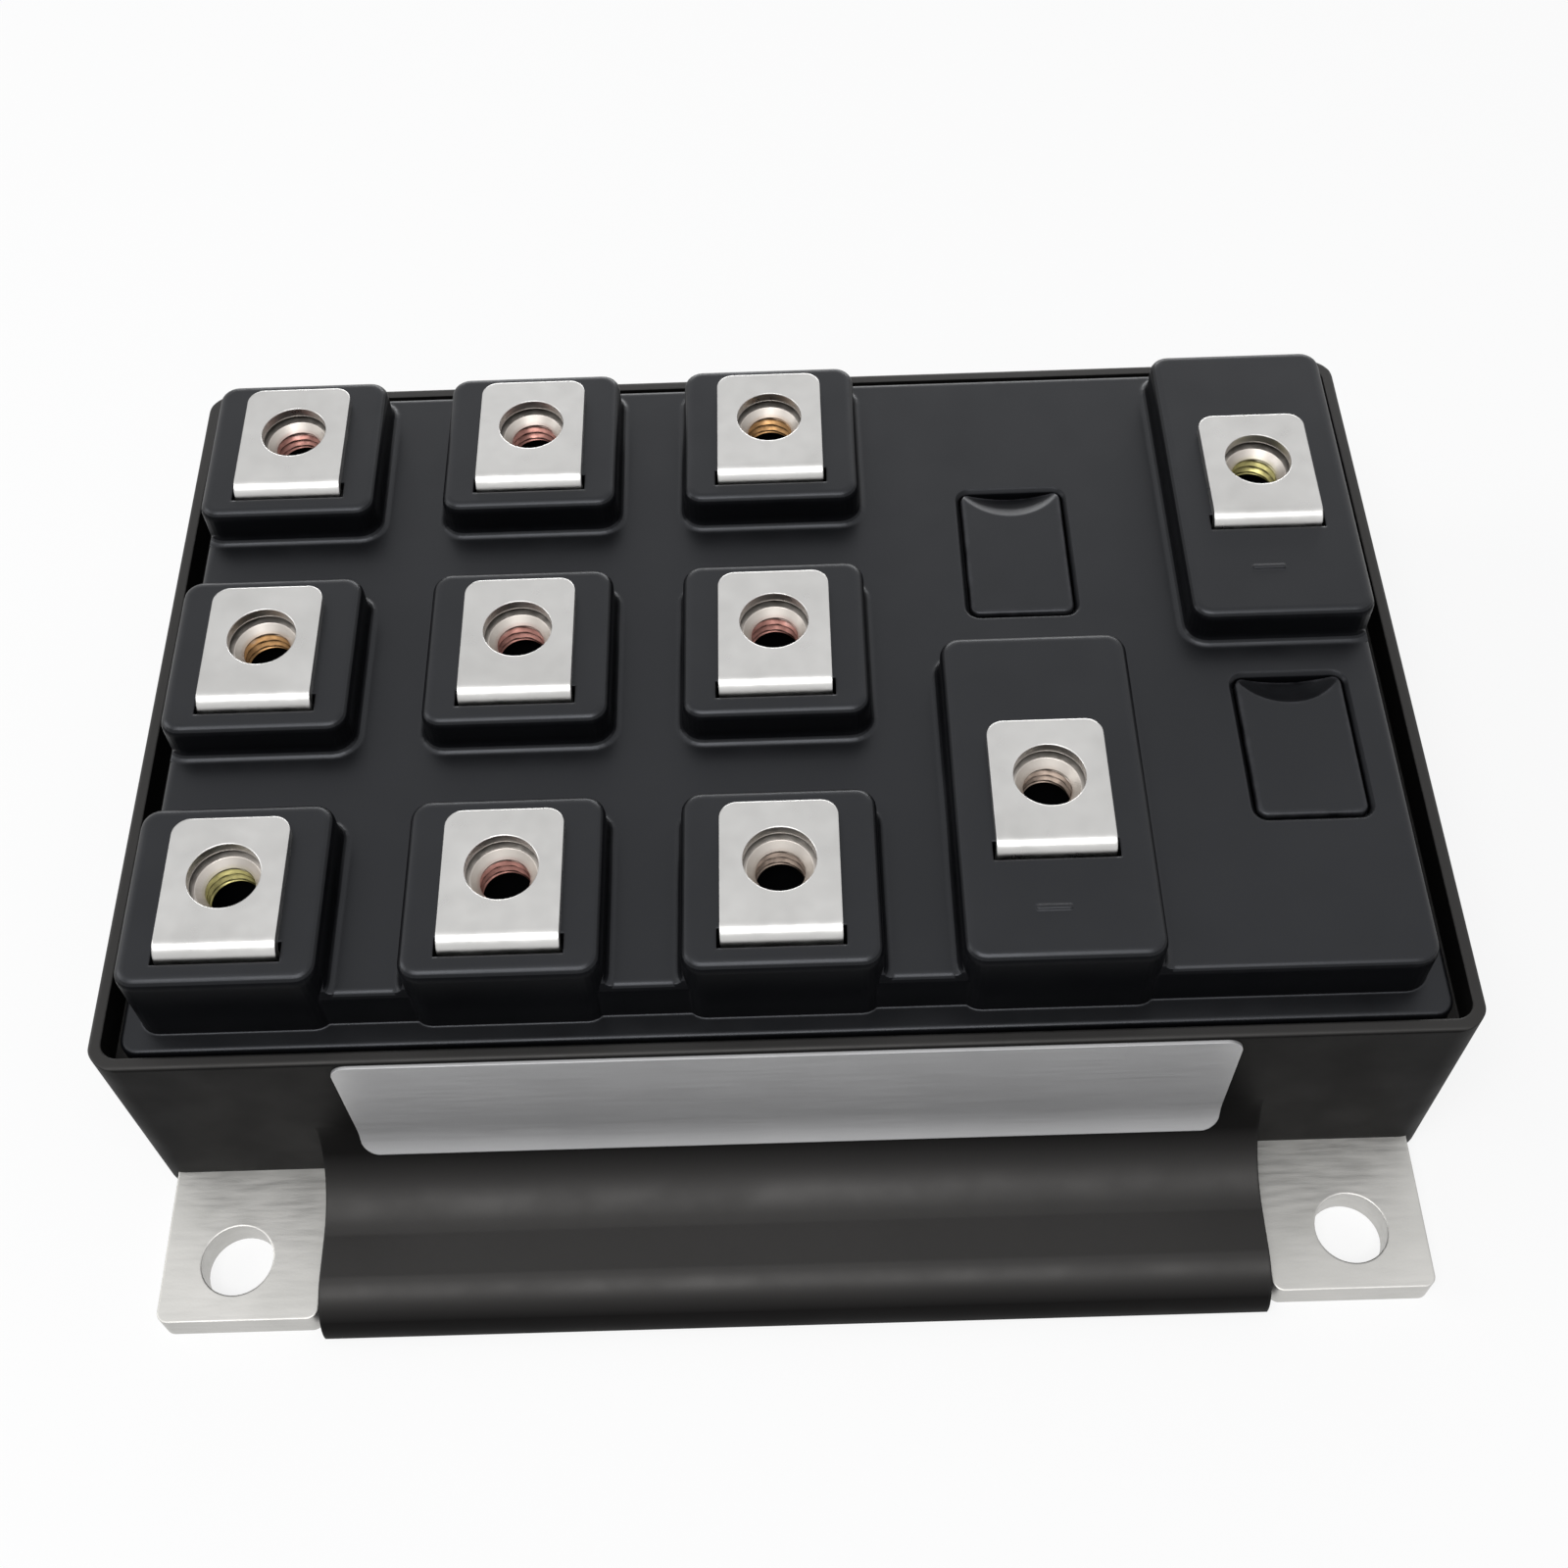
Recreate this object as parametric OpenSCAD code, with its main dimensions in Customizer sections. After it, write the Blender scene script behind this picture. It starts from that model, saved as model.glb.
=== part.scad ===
// Power transistor module: nickel-plated base plate, moulded case frame and cover,
// nine small and two main screw terminals with captive nuts, and the power stage inside.
// The origin is at the centre of the base plate's underside. The terminal side faces up and
// the rating plate faces -Y.

/* [Base plate] */
// Width of the base plate along X
base_w = 112; // [106:1:122]
// Length of the base plate over its four tabs along Y
base_l = 105; // [100:1:114]
// Thickness of the base plate
base_t = 3; // [2.5:0.5:3.5]
// Width of each mounting tab along X
tab_w = 14.2; // [13:0.1:15]
// How far each tab reaches out from the wall of the case
tab_reach = 14; // [13:0.5:15]
// Distance from a mounting hole's centre to the side edge of the base plate
hole_side = 6.5; // [6:0.1:7.5]
// Distance from a mounting hole's centre to the end of its tab
hole_end = 5.5; // [5:0.1:6.5]
// Diameter of the mounting holes, to clear an M6 screw
hole_d = 6.4; // [5.5:0.1:6.6]

/* [Case frame] */
// How far each side wall of the case stands out past the base plate
case_lip = 2; // [1.5:0.1:3]
// Height of the case rim above the underside of the base plate
case_h = 24.5; // [23.5:0.5:25]
// Outer corner radius of the case frame
case_r = 2.7; // [2:0.1:4]
// Thickness of the case wall below the cover's ledge
wall_t = 3.2; // [3:0.1:3.5]
// Thickness of the rim that stands round the cover
rim_t = 1.1; // [0.8:0.1:1.3]
// Radius of the rolled upper edge of the case rim
rim_edge_r = 0.35; // [0.2:0.05:0.5]
// How far each foot reaches out from the case wall
foot_reach = 15; // [14:0.5:16]
// Height of the flat top of each foot
foot_h = 4.9; // [4.5:0.1:5.5]
// Radius of the hollow curve from the case wall down to the foot
cove_r = 7.2; // [5:0.2:8]
// Radius of the rounded nose along each foot
nose_r = 4; // [3:0.5:4]

/* [Cover] */
// Height of the cover's main deck above the underside of the base plate
deck_z = 29.4; // [29:0.1:30]
// Height of the terminal bosses above the deck
boss_h = 2.3; // [2:0.1:3]
// Distance from the sides of the deck to the edge of the cover
deck_side = 2.3; // [2:0.1:3]
// Distance from the front of the deck to the edge of the cover
deck_front_gap = 1.9; // [1.6:0.1:3]
// Distance from the back of the deck to the edge of the cover
deck_back_gap = 3.9; // [3:0.1:5]
// Width of every terminal boss along X
boss_w = 16.6; // [16:0.1:17.4]
// Length of a small terminal boss along Y
boss_l = 17; // [16.6:0.1:17.6]
// Length of a main terminal boss along Y
main_boss_l = 32.3; // [31:0.1:32.6]
// Wall thickness of the moulded cover
cover_t = 2.5; // [2:0.1:2.6]
// Depth of the cover's edge below the case rim
flange_drop = 1.3; // [1:0.1:2]
// Width of the groove between the cover and the case rim
groove_w = 1; // [0.8:0.1:1.2]
// How far the outer bosses stand out past the sides of the deck
boss_proud = 0.7; // [0.4:0.1:1]
// Radius of the rolled upper edges of the bosses
boss_edge_r = 0.6; // [0.4:0.1:0.8]
// Radius of the rolled upper edge of the deck
deck_edge_r = 0.8; // [0.5:0.1:1]

/* [Terminals] */
// Distance from the front of the front main boss to its screw hole
main_lead = 17; // [16:0.1:18]
// Distance from the back of the back main boss to its screw hole
main_tail = 15; // [14.5:0.1:16.5]
// Width of a terminal plate
plate_w = 10; // [9.5:0.1:10]
// Thickness of the terminal strip
strip_t = 1; // [0.8:0.1:1.2]
// Distance from a screw hole's centre to the plate's back edge
plate_back = 5.7; // [5.2:0.1:6]
// Distance from a screw hole's centre to the front face of the bent leg
plate_front = 7.4; // [7:0.1:7.6]
// Diameter of the screw hole in a terminal plate
plate_hole_d = 6.2; // [5.5:0.1:6.4]
// Outer radius of the bends in the terminal strip
bend_r = 1.5; // [1.3:0.1:1.8]

/* [Captive nuts] */
// Width across the flats of an M5 nut
nut_af = 8; // [7.8:0.1:8.2]
// Thickness of an M5 nut
nut_t = 4; // [3.5:0.1:4.2]
// Diameter of the nut's threaded bore
nut_bore_d = 4.2; // [4.1:0.1:4.4]
// Clearance round the nut in its pocket
nut_gap = 0.1; // [0.05:0.05:0.2]

/* [Filling port plugs] */
// Width of a plug along X
plug_w = 10; // [9:0.5:10.5]
// Length of a plug along Y
plug_l = 15.2; // [14:0.2:15.4]
// Thickness of a plug's head
plug_head_t = 1.5; // [1.2:0.1:1.6]
// Clearance round a plug's head
plug_gap = 0.25; // [0.15:0.05:0.3]

/* [Rating plate] */
// Distance from each end of the rating plate to the end of the foot
label_inset = 3.7; // [3:0.1:10]
// Height of the lower edge of the rating plate above the flat of the foot
label_rise = 3.7; // [3.5:0.1:5]
// Thickness of the rating plate
label_t = 0.3; // [0.2:0.1:0.5]

/* [Power stage] */
// Thickness of the ceramic substrates
ceramic_t = 0.9; // [0.6:0.1:1]
// Thickness of the copper tracks
track_t = 0.3; // [0.2:0.1:0.4]
// Thickness of the silicon dies
die_t = 0.4; // [0.3:0.1:0.5]
// Side of a transistor die
transistor_side = 9; // [8:0.5:9]
// Side of a diode die
diode_side = 7; // [6:0.5:7]
// Diameter of a bond wire
wire_d = 0.4; // [0.3:0.05:0.5]
// Height of the underside of the resin seal
seal_z = 10; // [9.5:0.5:11]
// Thickness of the resin seal
seal_t = 5; // [4:0.5:5]

/* [Hidden] */
$fn = 48;

// Overlap of joined shapes and overrun of cuts
eps = 0.05;
over = 1;

// Shortest distance that a cut keeps from the edge of what it is in
edge_margin = 0.4;

// Plan of the case, round the base plate
case_w = base_w + 2 * case_lip;
case_l = base_l - 2 * tab_reach;
hole_x = base_w / 2 - hole_side;
hole_y = base_l / 2 - hole_end;

// Heights
boss_top = deck_z + boss_h;
plate_top = boss_top + strip_t;
flange_top = case_h - flange_drop;
ledge_z = flange_top - cover_t;
deck_under = deck_z - cover_t;
track_top = base_t + ceramic_t + track_t;
die_top = track_top + die_t;

// Plan sizes of the cover
flange_w = case_w - 2 * (rim_t + groove_w);
flange_l = case_l - 2 * (rim_t + groove_w);
deck_front = -flange_l / 2 + deck_front_gap;
deck_back = flange_l / 2 - deck_back_gap;
deck_l = deck_back - deck_front;
deck_y = (deck_back + deck_front) / 2;
deck_w = flange_w - 2 * deck_side;
deck_r = 2.2;
boss_r = 1.8;
flange_r = case_r - rim_t;
flange_edge_r = 0.4;

// Bosses: five columns and three rows, spread over the deck from edge to edge
pitch_x = (deck_w + 2 * boss_proud - boss_w) / 4;
pitch_y = (deck_l - boss_l) / 2;
boss_shift = -1;

// Terminal positions: hole centres, each a little behind the middle of its boss
row_y = deck_y - boss_shift;
small_columns = [-2, -1, 0];
rows = [-1, 0, 1];
main_spots = [[pitch_x, deck_front + main_lead], [2 * pitch_x, deck_back - main_tail]];
small_spots = [for (c = small_columns, r = rows) [c * pitch_x, row_y + r * pitch_y]];
all_spots = concat(small_spots, main_spots);

// Room inside the case wall for the power stage
room_w = case_w - 2 * wall_t;
room_l = case_l - 2 * wall_t;
room_r = 1.5;

// Feet between the tabs, and the edge of the base plate under them
tab_gap = 0.3;
foot_w = base_w - 2 * tab_w - 2 * tab_gap;
foot_r = 2;
foot_lift = 0.4;
sill_inset = 4;
sill_l = base_l - 2 * sill_inset;
tab_r = 1;

// Rating plate
label_r = 1.5;
label_w = foot_w - 2 * label_inset;
label_z = foot_h + label_rise;
label_top = case_h - edge_margin;

// Slots, pockets and wells of the terminals
slot_side_gap = 0.3;
slot_front_gap = 0.5;
slot_w = plate_w + 2 * slot_side_gap;
slot_front = plate_front + slot_front_gap;
slot_back = plate_front - bend_r - eps;
nut_top = boss_top - nut_gap;
nut_seat = nut_top - nut_t;
nut_sink = 0.5;
well_d = 5.8;
well_wall = 2;
well_floor = 1.2;

// Narrow lower part of each terminal leg, and its soldered foot
leg_w = 6;
leg_step = 1.5;
leg_step_z = seal_z + seal_t + leg_step;
solder_foot_l = 5;
plate_r = 1.5;

// Plug positions: in line with each main boss, with the plug's length along Y
plug_behind = 4.2;
plug_before = 5.6;
plug_spots = [[pitch_x, deck_front + main_boss_l + plug_behind + plug_l / 2],
    [2 * pitch_x, deck_back - main_boss_l - plug_before - plug_l / 2]];
plug_ledge = 1.1;
scoop_r = 8;
scoop_rise = 6.2;
scoop_back = 2.2;

// Substrates: three side by side in the room inside the case
room_side = 3.3;
room_end = 1.3;
substrate_gap = 2;
substrate_w = (room_w - 2 * room_side - 2 * substrate_gap) / 3;
substrate_l = room_l - 2 * room_end;

// Solder pads under the terminals' feet
pad_w = 8;
pad_l = 7.4;
pad_lead = 0.4;
pad_y = -plate_front + pad_l / 2 - pad_lead;

// Islands between the pads, each with a transistor and a diode side by side
die_gap = 1.6;
island_edge = 2;
island_shift = 0.1;
main_island_shift = 2;
front_track_gap = 2.6;
back_track_gap = 1.1;
island_w = transistor_side + diode_side + 3 * die_gap;
island_d = max(transistor_side, diode_side) + 2 * island_edge;
transistor_x = -island_w / 2 + die_gap + transistor_side / 2;
diode_x = island_w / 2 - die_gap - diode_side / 2;
island_rows = [for (side = [-1, 1]) row_y + pad_y + island_shift + side * pitch_y / 2];
islands = concat([for (x = [-1.5 * pitch_x, 0], y = island_rows) [x, y]],
    [[pitch_x + pad_w / 2 + front_track_gap + island_w / 2, island_rows[0] + main_island_shift],
        [2 * pitch_x - pad_w / 2 - back_track_gap - island_w / 2, island_rows[1]]]);
wire_pitch = 1.5;
wire_shift = 0.5;

module round_rect(w, l, r) {
    square([w - 2 * r, l], center = true);
    square([w, l - 2 * r], center = true);
    for (x = [-1, 1], y = [-1, 1])
        translate([x * (w / 2 - r), y * (l / 2 - r)]) circle(r);
}

// Side view of a block whose two upper edges are rolled over with radius e
module rolled_profile(w, h, e) {
    translate([-w / 2 - over, 0]) square([w + 2 * over, h - e]);
    translate([-w / 2 + e, 0]) square([w - 2 * e, h]);
    for (x = [-1, 1])
        translate([x * (w / 2 - e), h - e]) circle(e);
}

// Block with rounded corners in plan and a rolled upper edge all round
module rolled_block(w, l, h, r, e) {
    intersection() {
        linear_extrude(h) round_rect(w, l, r);
        rotate([90, 0, 0]) linear_extrude(l + 2 * over, center = true) rolled_profile(w, h, e);
        rotate([90, 0, 90]) linear_extrude(w + 2 * over, center = true) rolled_profile(l, h, e);
    }
}

// Box centred on X and Y, standing on z
module box(w, l, z, h) {
    translate([-w / 2, -l / 2, z]) cube([w, l, h]);
}

// Quarter of a flat ring, in the quadrant of negative x and positive y
module bend_profile(r_out, r_in) {
    intersection() {
        difference() {
            circle(r_out);
            circle(r_in);
        }
        translate([-r_out, 0]) square(r_out);
    }
}

// Turns a profile drawn in (Y, Z) and extrudes it along X
module along_x(w) {
    rotate([90, 0, 90]) linear_extrude(w, center = true) children();
}

module base_plate() {
    color([0.78, 0.77, 0.75])
        linear_extrude(base_t) difference() {
            union() {
                square([base_w, sill_l], center = true);
                for (x = [-1, 1])
                    translate([x * (base_w - tab_w) / 2, 0]) round_rect(tab_w, base_l, tab_r);
            }
            for (x = [-1, 1], y = [-1, 1])
                translate([x * hole_x, y * hole_y]) circle(d = hole_d);
        }
}

// Side view of one foot on the -Y side: hollow curve, flat top and rounded nose
module foot_profile() {
    wall_y = -case_l / 2;
    nose_y = wall_y - foot_reach + nose_r;
    nose_z = foot_h - nose_r;
    translate([nose_y, foot_lift]) square([-nose_y - case_l / 2 + over, foot_h - foot_lift]);
    intersection() {
        translate([nose_y, nose_z]) circle(nose_r);
        translate([nose_y - nose_r, foot_lift]) square([2 * nose_r, foot_h]);
    }
    difference() {
        translate([wall_y - cove_r, foot_h - over]) square([cove_r + over, cove_r + over]);
        translate([wall_y - cove_r, foot_h + cove_r]) circle(cove_r);
    }
}

module foot() {
    intersection() {
        along_x(foot_w) foot_profile();
        translate([0, -case_l / 2 - foot_reach / 2, 0])
            linear_extrude(case_h) round_rect(foot_w, foot_reach * 2, foot_r);
    }
}

module case_frame() {
    color([0.16, 0.16, 0.17])
        difference() {
            union() {
                translate([0, 0, foot_lift])
                    rolled_block(case_w, case_l, case_h - foot_lift, case_r, rim_edge_r);
                foot();
                mirror([0, 1, 0]) foot();
            }
            // recess that the base plate seats in, and the room for the power stage
            box(base_w, sill_l, -over, base_t + over);
            translate([0, 0, -over]) linear_extrude(case_h + 2 * over) round_rect(room_w, room_l, room_r);
            // seat of the cover inside the rim
            translate([0, 0, ledge_z]) linear_extrude(case_h)
                round_rect(case_w - 2 * rim_t, case_l - 2 * rim_t, case_r - rim_t);
        }
}

module small_boss() {
    translate([0, boss_shift, flange_top - eps])
        rolled_block(boss_w, boss_l, boss_top - flange_top + eps, boss_r, boss_edge_r);
}

module main_boss(y_middle) {
    translate([0, y_middle, flange_top - eps])
        rolled_block(boss_w, main_boss_l, boss_top - flange_top + eps, boss_r, boss_edge_r);
}

// Nut pocket with a closed well under it for the end of the screw, and the strip's slot
module terminal_cut() {
    translate([0, 0, nut_seat]) rotate(30)
        cylinder(h = nut_t + over, d = (nut_af + 2 * nut_gap) / cos(30), $fn = 6);
    translate([0, 0, ledge_z + well_floor])
        cylinder(h = nut_seat - ledge_z - well_floor + eps, d = well_d);
    translate([-slot_w / 2, -slot_front, ledge_z - over])
        cube([slot_w, slot_front - slot_back, boss_top - ledge_z + 2 * over]);
}

module port_cut() {
    box(plug_w + 2 * plug_gap, plug_l + 2 * plug_gap, deck_z - plug_head_t, plug_head_t + over);
    box(plug_w - 2 * plug_ledge, plug_l - 2 * plug_ledge, deck_under - over, cover_t + 2 * over);
}

module cover() {
    color([0.17, 0.17, 0.18])
        difference() {
            union() {
                difference() {
                    union() {
                        translate([0, 0, ledge_z])
                            rolled_block(flange_w, flange_l, cover_t, flange_r, flange_edge_r);
                        translate([0, deck_y, flange_top - eps])
                            rolled_block(deck_w, deck_l, deck_z - flange_top + eps, deck_r, deck_edge_r);
                        for (s = small_spots) translate([s.x, s.y, 0]) small_boss();
                        translate([main_spots[0].x, 0, 0]) main_boss(deck_front + main_boss_l / 2);
                        translate([main_spots[1].x, 0, 0]) main_boss(deck_back - main_boss_l / 2);
                    }
                    translate([0, deck_y, 0])
                        box(deck_w - 2 * cover_t, deck_l - 2 * cover_t, ledge_z - over, deck_under - ledge_z + over);
                }
                for (s = all_spots)
                    translate([s.x, s.y, ledge_z])
                        cylinder(h = deck_under - ledge_z + eps, d = well_d + 2 * well_wall);
            }
            for (s = all_spots) translate([s.x, s.y, 0]) terminal_cut();
            for (s = plug_spots) translate([s.x, s.y, 0]) port_cut();
        }
}

// Bent strip: screw plate on the boss, leg through the cover, and a foot soldered to a track
module terminal(spot) {
    leg_y = -plate_front;
    color([0.80, 0.79, 0.77])
        translate([spot.x, spot.y, 0]) {
            translate([0, 0, boss_top]) linear_extrude(strip_t) difference() {
                intersection() {
                    translate([0, plate_back - plate_w]) round_rect(plate_w, 2 * plate_w, plate_r);
                    translate([-plate_w / 2, leg_y + bend_r])
                        square([plate_w, plate_front - bend_r + plate_back]);
                }
                circle(d = plate_hole_d);
            }
            along_x(plate_w) {
                translate([leg_y + bend_r, plate_top - bend_r]) bend_profile(bend_r, bend_r - strip_t);
                translate([leg_y, leg_step_z]) square([strip_t, plate_top - bend_r - leg_step_z]);
            }
            along_x(leg_w) {
                translate([leg_y, track_top + bend_r]) square([strip_t, leg_step_z - track_top - bend_r]);
                translate([leg_y + bend_r, track_top + bend_r])
                    mirror([0, 1]) bend_profile(bend_r, bend_r - strip_t);
                translate([leg_y + bend_r, track_top]) square([solder_foot_l, strip_t]);
            }
        }
}

// Hexagon nut with both faces chamfered
module nut() {
    corner_d = nut_af / cos(30);
    bevel = (corner_d - nut_af) / 2 * tan(30);
    bore_r = nut_bore_d / 2;
    rotate(30) difference() {
        intersection() {
            cylinder(h = nut_t, d = corner_d, $fn = 6);
            rotate_extrude() polygon([[0, 0], [nut_af / 2, 0], [corner_d / 2, bevel],
                [corner_d / 2, nut_t - bevel], [nut_af / 2, nut_t], [0, nut_t]]);
        }
        translate([0, 0, -over]) cylinder(h = nut_t + 2 * over, d = nut_bore_d);
        for (z = [0, nut_t])
            translate([0, 0, z]) rotate_extrude()
                polygon([[0, -nut_sink], [bore_r, -nut_sink], [bore_r + nut_sink, 0], [bore_r, nut_sink],
                    [0, nut_sink]]);
    }
}

module terminal_nuts() {
    color([0.72, 0.62, 0.50])
        for (s = all_spots) translate([s.x, s.y, nut_seat]) nut();
}

// Plug with a scoop at its back edge for lifting it out
module plug(spot) {
    color([0.16, 0.16, 0.17])
        translate([spot.x, spot.y, 0]) difference() {
            union() {
                box(plug_w, plug_l, deck_z - plug_head_t, plug_head_t);
                box(plug_w - 2 * plug_ledge - 2 * plug_gap, plug_l - 2 * plug_ledge - 2 * plug_gap,
                    deck_under, deck_z - deck_under - eps);
            }
            translate([0, plug_l / 2 + scoop_back, deck_z + scoop_rise]) sphere(scoop_r);
        }
}

// Plate that follows the case wall and the start of the hollow curve below it
module rating_plate() {
    wall_y = -case_l / 2;
    curve_z = foot_h + cove_r;
    color([0.70, 0.70, 0.71])
        intersection() {
            along_x(label_w) {
                translate([wall_y - label_t, curve_z]) square([label_t, label_top - curve_z]);
                difference() {
                    translate([wall_y - cove_r, curve_z]) circle(cove_r);
                    translate([wall_y - cove_r, curve_z]) circle(cove_r - label_t);
                    translate([wall_y - 2 * cove_r - over, curve_z]) square([2 * cove_r + 2 * over, cove_r + over]);
                    translate([wall_y - 2 * cove_r - over, 0]) square([2 * cove_r + 2 * over, label_z]);
                    translate([wall_y - 2 * cove_r - over, 0]) square([cove_r + over, curve_z + over]);
                }
            }
            translate([0, wall_y + over, (label_top + label_z) / 2])
                rotate([90, 0, 0]) linear_extrude(cove_r)
                    round_rect(label_w, label_top - label_z, label_r);
        }
}

module ceramic_substrates() {
    color([0.93, 0.92, 0.88])
        for (i = [-1, 0, 1])
            translate([i * (substrate_w + substrate_gap), 0, 0])
                box(substrate_w, substrate_l, base_t, ceramic_t);
}

module copper_tracks() {
    color([0.80, 0.50, 0.32]) {
        for (s = all_spots)
            translate([s.x, s.y + pad_y, 0])
                box(pad_w, pad_l, base_t + ceramic_t, track_t);
        for (p = islands)
            translate([p.x, p.y, 0]) box(island_w, island_d, base_t + ceramic_t, track_t);
    }
}

module transistor_dies() {
    color([0.35, 0.36, 0.40])
        for (p = islands)
            translate([p.x + transistor_x, p.y, 0])
                box(transistor_side, transistor_side, track_top, die_t);
}

module diode_dies() {
    color([0.42, 0.42, 0.46])
        for (p = islands)
            translate([p.x + diode_x, p.y, 0]) box(diode_side, diode_side, track_top, die_t);
}

// Looped wires from each transistor's face to the diode beside it
module bond_wires() {
    span_r = (diode_x - transistor_x) / 4;
    color([0.85, 0.85, 0.86])
        for (p = islands, i = [-1, 0, 1])
            translate([p.x + (transistor_x + diode_x) / 2 + wire_shift, p.y + i * wire_pitch, die_top])
                rotate([90, 0, 0]) rotate_extrude(angle = 180)
                    translate([span_r, 0]) circle(d = wire_d, $fn = 16);
}

module resin_seal() {
    color([0.20, 0.20, 0.20])
        difference() {
            translate([0, 0, seal_z]) linear_extrude(seal_t)
                round_rect(room_w, room_l, room_r);
            for (s = all_spots)
                translate([s.x, s.y - plate_front + strip_t / 2, 0])
                    box(leg_w, strip_t, seal_z - over, seal_t + 2 * over);
        }
}

base_plate();
case_frame();
cover();
rating_plate();
terminal(small_spots[0]);  // terminal_left_front
terminal(small_spots[1]);  // terminal_left_middle
terminal(small_spots[2]);  // terminal_left_back
terminal(small_spots[3]);  // terminal_inner_front
terminal(small_spots[4]);  // terminal_inner_middle
terminal(small_spots[5]);  // terminal_inner_back
terminal(small_spots[6]);  // terminal_centre_front
terminal(small_spots[7]);  // terminal_centre_middle
terminal(small_spots[8]);  // terminal_centre_back
terminal(main_spots[0]);  // terminal_main_front
terminal(main_spots[1]);  // terminal_main_back
terminal_nuts();
plug(plug_spots[0]);  // plug_back
plug(plug_spots[1]);  // plug_front
ceramic_substrates();
copper_tracks();
transistor_dies();
diode_dies();
bond_wires();
resin_seal();
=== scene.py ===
import math

import bpy
import bmesh
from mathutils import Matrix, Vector


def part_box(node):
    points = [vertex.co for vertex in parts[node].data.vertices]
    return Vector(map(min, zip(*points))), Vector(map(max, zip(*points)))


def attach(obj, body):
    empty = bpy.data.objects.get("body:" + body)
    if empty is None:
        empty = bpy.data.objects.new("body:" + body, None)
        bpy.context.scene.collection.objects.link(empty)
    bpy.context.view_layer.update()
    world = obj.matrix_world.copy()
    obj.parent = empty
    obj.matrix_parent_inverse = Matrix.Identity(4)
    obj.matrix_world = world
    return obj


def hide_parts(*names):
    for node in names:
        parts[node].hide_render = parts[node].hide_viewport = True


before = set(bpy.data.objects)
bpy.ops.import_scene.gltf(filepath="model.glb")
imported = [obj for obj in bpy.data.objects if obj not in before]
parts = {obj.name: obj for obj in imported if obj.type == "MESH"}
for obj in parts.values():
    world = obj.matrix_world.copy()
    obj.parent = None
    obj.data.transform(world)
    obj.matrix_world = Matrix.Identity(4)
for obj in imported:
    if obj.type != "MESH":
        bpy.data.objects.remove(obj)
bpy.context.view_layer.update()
mm = 0.001


# ---------------------------------------------------------------- Base plate
# A flat copper plate, blanked in a press, with a hole punched in each corner tab. It is nickel
# plated to a dull grey, and carries everything else.


def new_finish(name, colour, metallic, roughness):
    """A finish with its colour, metal and roughness set plainly, ready for its marks."""
    finish = bpy.data.materials.new(name)
    finish.use_nodes = True
    shader = finish.node_tree.nodes["Principled BSDF"]
    shader.inputs["Base Color"].default_value = (*colour, 1.0)
    shader.inputs["Metallic"].default_value = metallic
    shader.inputs["Roughness"].default_value = roughness
    return finish, shader


def place_noise(finish, size, detail=3.0, stretch=(1.0, 1.0, 1.0)):
    """Noise fixed to the part, with features of about the given size in metres."""
    nodes, links = finish.node_tree.nodes, finish.node_tree.links
    where = nodes.new("ShaderNodeTexCoord")
    spread = nodes.new("ShaderNodeMapping")
    spread.inputs["Scale"].default_value = [s / size for s in stretch]
    noise = nodes.new("ShaderNodeTexNoise")
    noise.inputs["Scale"].default_value = 1.0
    noise.inputs["Detail"].default_value = detail
    links.new(where.outputs["Object"], spread.inputs["Vector"])
    links.new(spread.outputs["Vector"], noise.inputs["Vector"])
    return noise.outputs["Fac"]


def blend_colours(finish, amount, stops):
    """Colours spread over a value, as (place, colour) stops."""
    nodes, links = finish.node_tree.nodes, finish.node_tree.links
    ramp = nodes.new("ShaderNodeValToRGB")
    while len(ramp.color_ramp.elements) < len(stops):
        ramp.color_ramp.elements.new(0.5)
    for element, (place, colour) in zip(ramp.color_ramp.elements, stops):
        element.position = place
        element.color = (*colour, 1.0)
    links.new(amount, ramp.inputs["Fac"])
    return ramp.outputs["Color"]


def spread_value(finish, amount, low, high, start=0.3, end=0.7):
    """A value that runs from start to end, moved into the range from low to high."""
    nodes, links = finish.node_tree.nodes, finish.node_tree.links
    spread = nodes.new("ShaderNodeMapRange")
    spread.inputs["From Min"].default_value = start
    spread.inputs["From Max"].default_value = end
    spread.inputs["To Min"].default_value = low
    spread.inputs["To Max"].default_value = high
    links.new(amount, spread.inputs["Value"])
    return spread.outputs["Result"]


def soften_edges(finish, shader, radius, bumps):
    """Rounds the look of every edge by radius, then adds bumps, as (value, depth, strength)."""
    nodes, links = finish.node_tree.nodes, finish.node_tree.links
    edge = nodes.new("ShaderNodeBevel")
    edge.samples = 8
    edge.inputs["Radius"].default_value = radius
    normal = edge.outputs["Normal"]
    for value, depth, strength in bumps:
        bump = nodes.new("ShaderNodeBump")
        bump.inputs["Distance"].default_value = depth
        bump.inputs["Strength"].default_value = strength
        links.new(value, bump.inputs["Height"])
        links.new(normal, bump.inputs["Normal"])
        normal = bump.outputs["Normal"]
    links.new(normal, shader.inputs["Normal"])


def wear(piece, finish):
    """Puts one finish on the whole of a piece."""
    for place in piece.material_slots:
        place.material = finish
    if not piece.material_slots:
        piece.data.materials.append(finish)


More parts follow.
